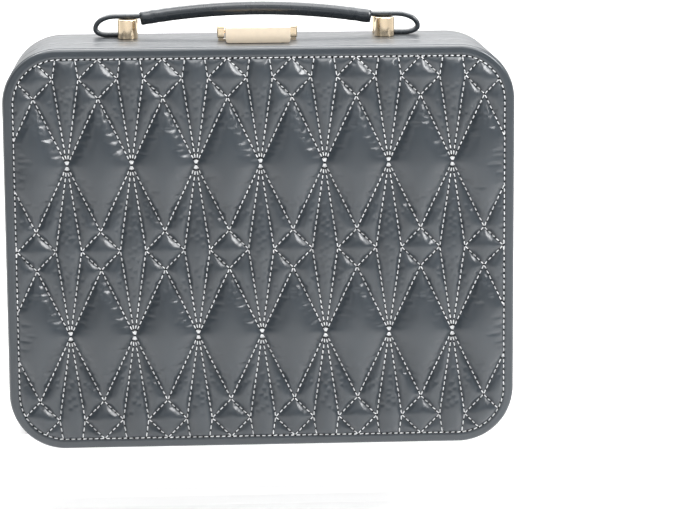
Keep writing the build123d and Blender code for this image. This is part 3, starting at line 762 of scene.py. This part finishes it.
perimeter = [(p[0], p[1]) for p in rounded(FIELD_X, FIELD_Z, FIELD_CORNER, 1.5)]
perimeter.append(perimeter[0])
sew("quilt", quilt_lines() + [perimeter], RIM_Y + VALLEY, 1, "lid")


# ---- the back -----------------------------------------------------------------------------------------
BACK_STEP = 5.0
BACK_CROWN = 1.0                # the back's middle stands this far above its stitching


def back_panel():
    """The plain leather back, slightly crowned."""
    flat, faces = plain_mesh(BACK_STEP)
    field = []
    for x, z in flat:
        crown = BACK_CROWN * (1 - math.exp(-max(depth_inside(x, z), 0) / BACK_STEP)) - VALLEY
        field.append((x, BACK_Y + crown, MID_Z + z))
    back = panel("back_panel", field, [f[::-1] for f in faces], BACK_Y, -1, 0.6, LEATHER)
    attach(back, "case_body")
    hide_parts("back_cover")


back_panel()
sew("back", [perimeter], BACK_Y - VALLEY, -1, "case_body")


# ---- leather round the sides ----------------------------------------------------------------------------
WALL = 4.92                     # leather turned over the wall's edge reaches its inner face
GROOVE_RISE = 2.35              # the V along the bottom seam, which lets the lid turn
GROOVE_HALF = 2.75
HINGES = [extent(f"hinge_pin_{end}") for end in ("left", "right")]
BARREL_ROOM = 2.5               # the leather stops this far from a hinge's axis
NOTCH_RISE = 6.0                # and only below this height
LEAF_RISE = 3.2                 # where it lies under the hinge's leaf
NOTCH_GAP = 0.4


FOLD = 0.2                      # the turned-over leather stands this far inside the wall
RIM_GAP = 0.1                   # between the side leather and the panel's edge


def band(name, seam_y, far_y, way, body, node):
    """Leather round the lid's or body's sides, from the panel's edge to the seam, turned over the wall.
    way is +1 where the seam is behind the far edge."""
    s, f = seam_y, far_y
    section = [(0.84, f - way * 0.8), (0.76, f - way * 0.1), (0.55, f + way * 0.12), (0.3, f + way * 0.4)]
    section += [(0.08, f + way * 0.85), (0, f + way * 1.5)]
    section += [(0, s - way * 2.4), (0.05, s - way * 1.6), (0.22, s - way * 1.0), (0.55, s - way * 0.52)]
    section += [(1.05, s - way * 0.2), (1.8, s - way * 0.03), (3.2, s), (WALL - 0.1, s)]
    section += [(WALL + FOLD, s - way * 0.25), (WALL + FOLD, s - way * 2.0), (WALL + FOLD, s - way * 6.2)]
    ring = rounded(WIDTH / 2, HEIGHT / 2, CORNER, 1.4)
    points, faces = [], []
    for inset, y in section:
        for x, z, nx, nz in ring:
            px, pz = x - nx * inset, MID_Z + z - nz * inset
            py = y
            if pz < GROOVE_RISE:
                limit = SEAM_Y - way * GROOVE_HALF * (1 - pz / GROOVE_RISE)
                py = min(py, limit) if way > 0 else max(py, limit)
            for low, high in HINGES:
                if low.x - NOTCH_GAP < px < high.x + NOTCH_GAP and pz < NOTCH_RISE:
                    limit = SEAM_Y - way * BARREL_ROOM
                    py = min(py, limit) if way > 0 else max(py, limit)
                    pz = min(pz, LEAF_RISE)
            points.append((px, py, pz))
    n = len(ring)
    for k in range(len(section) - 1):
        for i in range(n):
            j = (i + 1) % n
            quad = [k * n + i, k * n + j, (k + 1) * n + j, (k + 1) * n + i]
            faces.append(quad if way > 0 else quad[::-1])
    piece = make(name, points, faces, LEATHER)
    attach(piece, body)
    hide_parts(node)


band("lid_leather", WRAP_HIGH.y, RIM_Y + RIM_TURN + RIM_GAP, 1, "lid", "lid_wrap")
band("body_leather", BODY_LOW.y, BACK_Y - RIM_TURN - RIM_GAP, -1, "case_body", "body_wrap")


# ---- handle -----------------------------------------------------------------------------------------------
TUBE_LOW, TUBE_HIGH = extent("handle_tube")
HANDLE_Y = (TUBE_LOW.y + TUBE_HIGH.y) / 2
TUBE_RADIUS = (TUBE_HIGH.y - TUBE_LOW.y) / 2
TUBE_END = 65.0
TUBE_MID_Z = TUBE_HIGH.z - TUBE_RADIUS
TUBE_SAG = 5.4                  # the tube's ends lie this far below its middle
ARCH = (TUBE_END ** 2 + TUBE_SAG ** 2) / (2 * TUBE_SAG)
TUBE_SIDES = 28
TUBE_STEPS = 120
TUBE_ROUND = 1.2                # length over which the tube's ends are rounded
SEAM_ANGLE = 245                # where the tube's glued seam runs, in degrees round it
CREASE_X = 58                   # where bending creases the tube


def tube_at(x):
    """Height and slope angle of the handle's centre line."""
    return TUBE_MID_Z - ARCH + math.sqrt(ARCH ** 2 - x ** 2), -math.asin(x / ARCH)


def swept(name, sections, node):
    """A closed leather skin for the handle through a list of equal sections, each a list of points."""
    n = len(sections[0])
    points = [p for s in sections for p in s]
    faces = [[k * n + i, k * n + (i + 1) % n, (k + 1) * n + (i + 1) % n, (k + 1) * n + i]
             for k in range(len(sections) - 1) for i in range(n)]
    faces += [list(range(n))[::-1], [(len(sections) - 1) * n + i for i in range(n)]]
    piece = make(name, points, faces, HANDLE)
    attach(piece, "handle")
    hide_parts(node)


def handle_grip():
    """The rolled leather tube, with a glued seam below, creases near its ends, and tucked-in ends."""
    sections = []
    for k in range(TUBE_STEPS + 1):
        x = TUBE_END * (2 * k / TUBE_STEPS - 1)
        z, slope = tube_at(x)
        near_end = max(0, (abs(x) - TUBE_END + TUBE_ROUND) / TUBE_ROUND)
        ring = []
        for i in range(TUBE_SIDES):
            a = math.tau * i / TUBE_SIDES
            seam = 0.32 * math.exp(-((math.degrees(a) - SEAM_ANGLE) / 9) ** 2)
            crease = 0.10 * math.sin(x * 0.9 + 3 * math.sin(a)) * math.exp(-((abs(x) - CREASE_X) / 9) ** 2)
            r = TUBE_RADIUS - 0.12 + seam + crease - 0.5 * near_end ** 2
            up, across = r * math.sin(a), r * math.cos(a)
            ring.append((x - up * math.sin(slope), HANDLE_Y + across, z + up * math.cos(slope)))
        sections.append(ring)
    for way in (1, -1):
        x = -way * TUBE_END
        z = tube_at(x)[0]
        for inner, size in ((0.0, 0.74), (3.0, 0.7)):
            ring = [(x + way * inner + (px - x) * size, HANDLE_Y + (py - HANDLE_Y) * size, z + (pz - z) * size)
                    for px, py, pz in (sections[0] if way > 0 else sections[-1])]
            sections.insert(0 if way > 0 else len(sections), ring)
    swept("handle_grip", sections, "handle_tube")


STRAP_THICK = 2.9
STRAP_WIDE = 7.2
STRAP_SIDES = 20
STRAP_GAP = 0.1                 # between the strap's lower run and the case
STRAP_FROM = 62.0               # the upper run starts inside the tube
TANG_END = 65.5                 # and is narrower as far as this
TANG_SHARE = 0.55
LOOP_HIGH_X = 79.0              # where the loop leaves its upper and its lower run
LOOP_LOW_X = 84.0
STRAP_TO = 68.5                 # the lower run's end
RUN_HIGH = TOP_Z + 11.85
RUN_LOW = TOP_Z + STRAP_THICK / 2 + STRAP_GAP
LOOP_Z = TOP_Z + 5.0            # height of the loop's outermost point


def eased(value, power):
    """A sine or cosine raised to a power, with its sign kept, for sections with squared corners."""
    return math.copysign(abs(value) ** power, value)


def strap_line(loop_x):
    """The strap's centre line as (x, z) points: out over the posts, round the loop and back below."""
    line = [(STRAP_FROM + i * (LOOP_HIGH_X - STRAP_FROM) / 8, RUN_HIGH) for i in range(9)]
    for i in range(1, 13):
        a = math.radians(90 - 90 * i / 12)
        line.append((LOOP_HIGH_X + (loop_x - LOOP_HIGH_X) * math.cos(a),
                     LOOP_Z + (RUN_HIGH - LOOP_Z) * math.sin(a)))
    for i in range(1, 11):
        a = math.radians(-90 * i / 10)
        line.append((LOOP_LOW_X + (loop_x - LOOP_LOW_X) * math.cos(a),
                     LOOP_Z + (LOOP_Z - RUN_LOW) * math.sin(a)))
    line += [(LOOP_LOW_X - i * (LOOP_LOW_X - STRAP_TO) / 6, RUN_LOW) for i in range(1, 7)]
    return line


def strap_loop(end, side, turn_in):
    """One strap loop; its centre line turns back a distance inside the loop's outer end."""
    low, high = extent(f"handle_strap_{end}")
    line = strap_line(max(abs(low.x), abs(high.x)) - turn_in)
    sections = []
    for k, (x, z) in enumerate(line):
        ax, az = line[max(k - 1, 0)]
        bx, bz = line[min(k + 1, len(line) - 1)]
        size = math.hypot(bx - ax, bz - az)
        nx, nz = -(bz - az) / size, (bx - ax) / size
        share = TANG_SHARE if x < TANG_END and z > LOOP_Z else 1.0
        ring = []
        for i in range(STRAP_SIDES):
            a = math.tau * (i + 0.5) / STRAP_SIDES
            wide = eased(math.cos(a), 0.5) * (STRAP_WIDE / 2 - 0.05) * share
            thick = eased(math.sin(a), 0.75) * (STRAP_THICK / 2 - 0.03)
            ring.append((side * (x + nx * thick), HANDLE_Y + side * wide, z + nz * thick))
        sections.append(ring)
    swept(f"strap_loop_{end}", sections, f"handle_strap_{end}")


handle_grip()
strap_loop("left", -1, 1.8)
strap_loop("right", 1, 0.5)


# ---- inside the case ---------------------------------------------------------------------------------------
ROLL_COUNT = 6


def padded_rolls():
    """Six velvet rolls that grip rings between them, with round fronts, tucked ends and uneven stuffing."""
    low, high = extent("ring_rolls")
    dice = random.Random(3)
    pitch = (high.z - low.z) / ROLL_COUNT
    points, faces = [], []
    sides, steps = 22, 44
    for r in range(ROLL_COUNT):
        middle = low.z + pitch * (r + 0.5)
        phase = dice.uniform(0, math.tau)
        sections = []
        for k in range(steps + 1):
            t = 2 * k / steps - 1
            x = (low.x + high.x) / 2 + t * (high.x - low.x) / 2
            tuck = (1 - abs(t) ** 14) ** 0.5
            stuffed = 1 + 0.018 * math.sin(6 * t + phase) + 0.012 * math.sin(17 * t + 2 * phase)
            ring = []
            for i in range(sides):
                a = math.tau * i / sides
                across, up = math.cos(a), math.sin(a)
                half_z = (pitch / 2 - 0.25) * (0.25 + 0.75 * tuck) * stuffed
                half_y = (high.y - low.y) / 2 * (0.85 + 0.15 * tuck)
                z = middle + eased(up, 0.75) * half_z
                y = (low.y + high.y) / 2 - eased(across, 0.45) * half_y
                ring.append((x, max(min(y, high.y), low.y), z))
            sections.append(ring)
        first = len(points)
        points += [p for ring in sections for p in ring]
        for k in range(steps):
            for i in range(sides):
                j = (i + 1) % sides
                faces.append([first + k * sides + i, first + (k + 1) * sides + i,
                              first + (k + 1) * sides + j, first + k * sides + j])
        faces.append([first + i for i in range(sides)])
        faces.append([first + steps * sides + i for i in range(sides)][::-1])
    piece = make("ring_roll_pads", points, faces, ROLL)
    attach(piece, "case_body")
    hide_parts("ring_rolls")


padded_rolls()

GATHERS = 21                    # folds across the pocket
POCKET_FOOT = 1.1               # the cloth's distance from the lining at its edges
POCKET_BELLY = 5.3              # and how much further its middle stands out
POCKET_TURN = 0.10              # share of the width over which it rises to that
POCKET_FOOT_GAP = 0.2           # the hem is this far above the pocket's lower edge
FOLD_DEPTH = 0.62
CLOTH_THICK = 0.5


def gathered_pocket():
    """The satin pocket below the necklace hooks: bellied, and gathered on its elastic."""
    low, high = extent("necklace_pocket")
    elastic_low = extent("pocket_elastic")[0]
    wide, tall = high.x - low.x, high.z - low.z
    back = low.y + 0.25
    across, up = 260, 30
    points, faces = [], []
    dice = random.Random(9)
    phases = [dice.uniform(-0.6, 0.6) for _ in range(GATHERS + 1)]
    for r in range(up + 1):
        v = r / up
        for c in range(across + 1):
            u = c / across
            edge = min(u, 1 - u)
            belly = min(edge / POCKET_TURN, 1) ** 0.5
            foot = min(v / 0.14, 1) ** 0.5
            g = u * GATHERS
            phase = phases[int(g)] * (1 - g % 1) + phases[min(int(g) + 1, GATHERS)] * (g % 1)
            fold = math.sin(math.tau * g + phase)
            depth = POCKET_FOOT + POCKET_BELLY * belly * foot * (0.82 + 0.18 * math.sin(math.pi * v))
            ripple = (0.55 + 0.75 * v ** 2 + 0.25 * (1 - v) ** 4) * fold * belly * min(v / 0.05, 1)
            y = back + depth + FOLD_DEPTH * ripple
            points.append((low.x + wide * u, y, low.z + POCKET_FOOT_GAP + (tall - POCKET_FOOT_GAP) * v))
    for r in range(up):
        for c in range(across):
            a = r * (across + 1) + c
            faces.append([a, a + across + 1, a + across + 2, a + 1])
    piece = make("pocket_cloth", points, faces, SATIN)
    solid = piece.modifiers.new("thickness", "SOLIDIFY")
    solid.thickness = CLOTH_THICK * MM
    solid.offset = 0
    band_points, band_faces = [], []
    for c in range(across + 1):
        u = c / across
        edge = min(u, 1 - u)
        g = u * GATHERS * 2
        belly = POCKET_BELLY * min(edge / POCKET_TURN, 1) ** 0.5 * 0.82
        y = back + POCKET_FOOT + belly + 0.28 * math.sin(math.tau * g)
        for dy, dz in ((-0.5, 0.1), (-0.5, 2.7), (-0.25, 2.95), (0.25, 2.95), (0.5, 2.7), (0.5, 0.1)):
            band_points.append((low.x + wide * u, y + dy, elastic_low.z + dz))
    for c in range(across):
        for i in range(6):
            j = (i + 1) % 6
            band_faces.append([c * 6 + i, (c + 1) * 6 + i, (c + 1) * 6 + j, c * 6 + j])
    band_faces += [list(range(6)), [across * 6 + i for i in range(6)][::-1]]
    elastic = make("gathered_elastic", band_points, band_faces, SATIN)
    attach(piece, "lid")
    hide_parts("necklace_pocket")
    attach(elastic, "lid")
    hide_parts("pocket_elastic")


gathered_pocket()


# ---- stage, camera and lights --------------------------------------------------------------------------
FLOOR_GLOW = 0.26               # keeps the pale floor white in the shade


def floor_material():
    """Matt white, faintly uneven."""
    m = Nodes("floor", Roughness=0.55, Specular_IOR_Level=0.3)
    m.colour(m.ramp(m.noise(0.004, 2.0), [(0.3, 0.86), (0.7, 0.88)]))
    m.shader.inputs["Emission Color"].default_value = (1, 1, 1, 1)
    m.shader.inputs["Emission Strength"].default_value = FLOOR_GLOW
    return m.material


STEP_Y = -4                     # the case stands on the edge of a step, so that its front can open
STEP_DROP = 62                  # and lie in front of it
COVE = 40                       # radius of the curve at the foot of the step
FLOOR_SIDE = 6000
FLOOR_BACK = 9000
FLOOR_FRONT = -5000


def floor_profile():
    """The floor from back to front: level, down the step, round the cove and level again."""
    line = [(FLOOR_BACK, 0), (STEP_Y, 0)]
    for i in range(13):
        a = math.pi / 2 * i / 12
        line.append((STEP_Y - COVE * (1 - math.cos(a)), COVE - STEP_DROP - COVE * math.sin(a)))
    line.append((FLOOR_FRONT, -STEP_DROP))
    return line


floor_line = floor_profile()
floor = make("floor", [(x, y, z) for y, z in floor_line for x in (FLOOR_SIDE, -FLOOR_SIDE)],
             [[2 * i, 2 * i + 1, 2 * i + 3, 2 * i + 2] for i in range(len(floor_line) - 1)],
             floor_material(), smooth=False)

CAMERA_AT = (-43.0, -1555.3, 371.7)
CAMERA_YAW = 3.254              # degrees towards +X
CAMERA_PITCH = 9.896            # degrees down
CAMERA_ROLL = -0.316
CAMERA_LENS = 148.16
optics = bpy.data.cameras.new("camera")
optics.lens = CAMERA_LENS
optics.clip_end = 100
camera = bpy.data.objects.new("camera", optics)
bpy.context.scene.collection.objects.link(camera)
turn = (Matrix.Rotation(math.radians(-CAMERA_YAW), 4, "Z")
        @ Matrix.Rotation(math.radians(90 - CAMERA_PITCH), 4, "X")
        @ Matrix.Rotation(math.radians(CAMERA_ROLL), 4, "Z"))
camera.matrix_world = Matrix.Translation(Vector(CAMERA_AT) * MM) @ turn
bpy.context.scene.camera = camera


def lamp(name, at, aim, size, power, colour=(1, 1, 1)):
    """A soft rectangular light; places in metres."""
    light = bpy.data.lights.new(name, "AREA")
    light.shape = "RECTANGLE"
    light.size, light.size_y = size
    light.energy = power
    light.color = colour
    holder = bpy.data.objects.new(name, light)
    holder.location = at
    holder.rotation_euler = (Vector(aim) - Vector(at)).to_track_quat("-Z", "Y").to_euler()
    bpy.context.scene.collection.objects.link(holder)


lamp("overhead", (0.1, -0.25, 1.35), (0.0, 0.0, 0.1), (1.3, 0.8), 19)
lamp("backdrop_light", (0.0, 2.2, 1.9), (0.0, 2.0, 0), (2.6, 3.2), 95)
lamp("key", (0.85, -0.5, 0.95), (0, 0, 0.12), (0.4, 0.5), 14)
lamp("fill", (-1.1, -1.2, 0.7), (0, 0, 0.12), (0.6, 0.8), 1.5)
lamp("front_box", (-0.1, -2.0, 0.95), (0, 0, 0.2), (1.4, 0.6), 1)
lamp("front_floor_light", (0.0, -2.9, 1.9), (0.0, -2.9, 0), (3.2, 3.0), 29)


def studio_world(front, back):
    """A room that is bright behind the object and near the horizon, and dimmer behind the camera."""
    world = bpy.data.worlds.new("studio")
    world.use_nodes = True
    tree = world.node_tree
    place = tree.nodes.new("ShaderNodeTexCoord")
    parts = tree.nodes.new("ShaderNodeSeparateXYZ")
    ramp = tree.nodes.new("ShaderNodeValToRGB")
    shift = tree.nodes.new("ShaderNodeMapRange")
    shift.inputs["From Min"].default_value = -1
    ramp.color_ramp.elements[0].position = 0.42
    ramp.color_ramp.elements[0].color = (front, front, front * 1.02, 1)
    ramp.color_ramp.elements[1].position = 0.60
    ramp.color_ramp.elements[1].color = (back, back, back, 1)
    tree.links.new(place.outputs["Generated"], parts.inputs["Vector"])
    tree.links.new(parts.outputs["Y"], shift.inputs["Value"])
    tree.links.new(shift.outputs["Result"], ramp.inputs["Fac"])
    haze = tree.nodes.new("ShaderNodeMapRange")
    haze.inputs["From Min"].default_value = 0.16
    haze.inputs["From Max"].default_value = 0.06
    mix = tree.nodes.new("ShaderNodeMixRGB")
    mix.inputs["Color2"].default_value = (back, back, back, 1)
    tree.links.new(parts.outputs["Z"], haze.inputs["Value"])
    tree.links.new(haze.outputs["Result"], mix.inputs["Fac"])
    tree.links.new(ramp.outputs["Color"], mix.inputs["Color1"])
    tree.links.new(mix.outputs["Color"], tree.nodes["Background"].inputs["Color"])
    return world


bpy.context.scene.world = studio_world(0.12, 1.0)
bpy.context.scene.view_settings.view_transform = "Standard"
